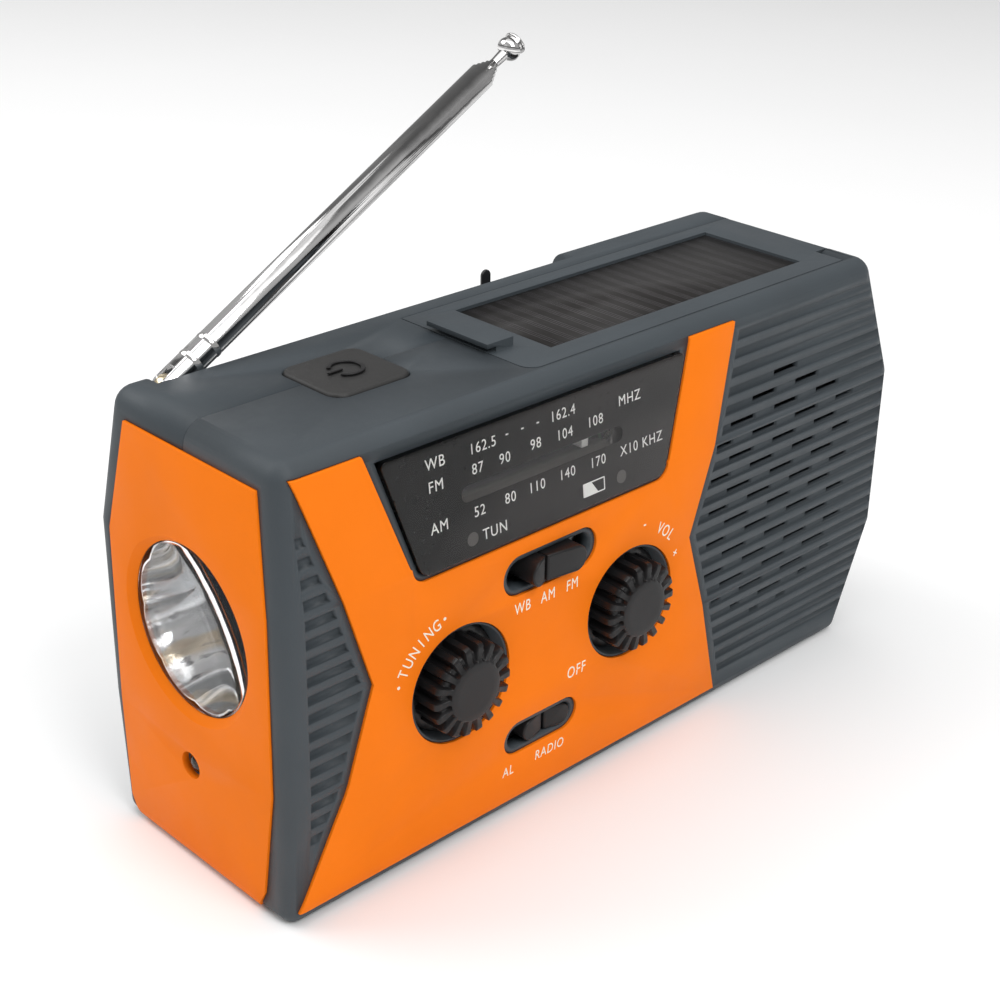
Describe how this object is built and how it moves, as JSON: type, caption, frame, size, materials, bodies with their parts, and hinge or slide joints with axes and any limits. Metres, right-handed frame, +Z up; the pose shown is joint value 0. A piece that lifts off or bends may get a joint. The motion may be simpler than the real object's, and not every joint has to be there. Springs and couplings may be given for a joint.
{
  "type": "emergency radio",
  "caption": "Portable emergency radio with a solar lid, end torch, telescopic antenna, tuning dial, loudspeaker grille and a folding hand crank.",
  "frame": {"origin": "on the flat base that the radio stands on, level with the middle of the case's length and depth", "axes": "+X along the front from the torch end to the loudspeaker end, +Y from the dial front to the back, +Z up"},
  "size_m": [0.1619, 0.0576, 0.1318],
  "materials": {
    "grey_plastic": "fine satin texture",
    "orange_plastic": "satin",
    "black_rubber": "soft matt",
    "black_plastic": "matt",
    "pale_plastic": "matt",
    "clear_plastic": "polished",
    "dial_black": "satin print",
    "chrome": "mirror",
    "steel": "plated",
    "brass": "nickel washed",
    "board_green": "solder mask",
    "cone_paper": "felted paper",
    "silicon": "satin",
    "cell_wrap": "shrink film",
    "cord": "braided"
  },
  "bodies": {
    "case": {"front_shell": "grey_plastic", "rear_shell": "grey_plastic", "front_panel": "orange_plastic", "end_panel": "orange_plastic", "dial_lens": "clear_plastic", "dial_plate": "dial_black", "dial_cord": "cord", "tuning_capacitor": "pale_plastic", "volume_pot": "steel", "band_switch_body": "steel", "alert_switch_body": "steel", "main_board": "board_green", "speaker_frame": "black_plastic", "speaker_cone": "cone_paper", "speaker_magnet": "steel", "reflector": "chrome", "torch_lens": "clear_plastic", "torch_led": "pale_plastic", "signal_led": "clear_plastic", "indicator_leds": "clear_plastic", "button_board": "board_green", "lid_pin": "steel", "antenna_bush": "brass", "antenna_clip": "black_plastic", "generator_body": "steel", "gearbox_plate": "pale_plastic", "battery_cell": "cell_wrap", "battery_contacts": "steel", "port_sockets": "black_plastic", "case_screws": "steel"},
    "tuning": {"tuning_knob": "black_rubber", "tuning_shaft": "pale_plastic"},
    "pointer": {"dial_pointer": "pale_plastic"},
    "volume": {"volume_knob": "black_rubber", "volume_shaft": "pale_plastic"},
    "band_switch": {"band_switch_cap": "black_rubber"},
    "alert_switch": {"alert_switch_cap": "black_rubber"},
    "button": {"power_button": "black_rubber"},
    "lid": {"lid_frame": "grey_plastic", "solar_cell": "silicon", "lamp_lens": "clear_plastic", "lamp_board": "pale_plastic"},
    "swivel": {"antenna_swivel": "brass"},
    "mast_root": {"mast_1": "chrome", "antenna_pin": "steel"},
    "section_2": {"mast_2": "chrome"},
    "section_3": {"mast_3": "chrome"},
    "section_4": {"mast_4": "chrome"},
    "section_5": {"mast_5": "chrome", "antenna_tip": "chrome"},
    "crank": {"crank_shaft": "steel", "crank_arm": "black_plastic", "grip_pin": "steel"},
    "grip_fold": {"grip_yoke": "black_plastic"},
    "grip": {"crank_grip": "black_rubber"},
    "idler": {"idler_gear": "pale_plastic"},
    "rotor": {"generator_rotor": "steel"},
    "door": {"battery_door": "grey_plastic"},
    "flap": {"port_flap": "black_rubber"}
  },
  "joints": [
    {"name": "tuning_turn", "type": "hinge", "parent": "case", "child": "tuning", "pos_m": [-0.0422, -0.025, 0.0353], "axis": [0, 1, 0], "range_deg": [-188, 37]},
    {"name": "pointer_travel", "type": "slide", "parent": "case", "child": "pointer", "axis": [1, 0, 0], "range_m": [-0.0284, 0.0057]},
    {"name": "volume_turn", "type": "hinge", "parent": "case", "child": "volume", "pos_m": [0.00115, -0.025, 0.0353], "axis": [0, 1, 0], "range_deg": [0, 300]},
    {"name": "band_slide", "type": "slide", "parent": "case", "child": "band_switch", "axis": [1, 0, 0], "range_m": [-0.0033, 0.0033]},
    {"name": "alert_slide", "type": "slide", "parent": "case", "child": "alert_switch", "axis": [1, 0, 0], "range_m": [-0.0034, 0]},
    {"name": "button_press", "type": "slide", "parent": "case", "child": "button", "axis": [0, 0, -1], "range_m": [0, 0.001], "stiffness_N_per_m": 400, "springref_m": -0.0012},
    {"name": "lid_open", "type": "hinge", "parent": "case", "child": "lid", "pos_m": [0.0725, 0, 0.083], "axis": [0, 1, 0], "range_deg": [0, 105]},
    {"name": "antenna_turn", "type": "hinge", "parent": "case", "child": "swivel", "pos_m": [-0.067, 0.0212, 0.0832], "axis": [0, 0, 1], "range_deg": [0, 120]},
    {"name": "antenna_tilt", "type": "hinge", "parent": "swivel", "child": "mast_root", "pos_m": [-0.067, 0.0212, 0.0832], "axis": [0, -1, 0], "range_deg": [-29.8, 60.2]},
    {"name": "section_2_slide", "type": "slide", "parent": "mast_root", "child": "section_2", "axis": [0.8678, 0, 0.497], "range_m": [0, 0.064]},
    {"name": "section_3_slide", "type": "slide", "parent": "section_2", "child": "section_3", "axis": [0.8678, 0, 0.497], "range_m": [0, 0.064]},
    {"name": "section_4_slide", "type": "slide", "parent": "section_3", "child": "section_4", "axis": [0.8678, 0, 0.497], "range_m": [0, 0.064]},
    {"name": "section_5_slide", "type": "slide", "parent": "section_4", "child": "section_5", "axis": [0.8678, 0, 0.497], "range_m": [0, 0.064]},
    {"name": "crank_spin", "type": "hinge", "parent": "case", "child": "crank", "pos_m": [-0.034, 0.02, 0.041], "axis": [0, 1, 0], "continuous": true},
    {"name": "grip_unfold", "type": "hinge", "parent": "crank", "child": "grip_fold", "pos_m": [-0.01, 0.022, 0.041], "axis": [0, 0, -1], "range_deg": [0, 90]},
    {"name": "grip_spin", "type": "hinge", "parent": "grip_fold", "child": "grip", "pos_m": [-0.02, 0.022, 0.041], "axis": [1, 0, 0], "continuous": true},
    {"name": "idler_spin", "type": "hinge", "parent": "case", "child": "idler", "pos_m": [-0.01286, 0.01, 0.03331], "axis": [0, 1, 0], "continuous": true},
    {"name": "rotor_spin", "type": "hinge", "parent": "case", "child": "rotor", "pos_m": [-0.01546, 0.007, 0.04808], "axis": [0, 1, 0], "continuous": true},
    {"name": "battery_door_open", "type": "hinge", "parent": "case", "child": "door", "pos_m": [0.0365, 0.02565, 0.0294], "axis": [-1, 0, 0], "range_deg": [0, 90]},
    {"name": "port_flap_open", "type": "hinge", "parent": "case", "child": "flap", "pos_m": [0.055, 0.02531, 0.06346], "axis": [-1, 0, 0], "range_deg": [0, 95]}
  ],
  "couplings": [
    {"joint": "pointer_travel", "follows": "tuning_turn", "m_per_rad": 0.00855},
    {"joint": "idler_spin", "follows": "crank_spin", "ratio": -4},
    {"joint": "rotor_spin", "follows": "crank_spin", "ratio": 16}
  ]
}
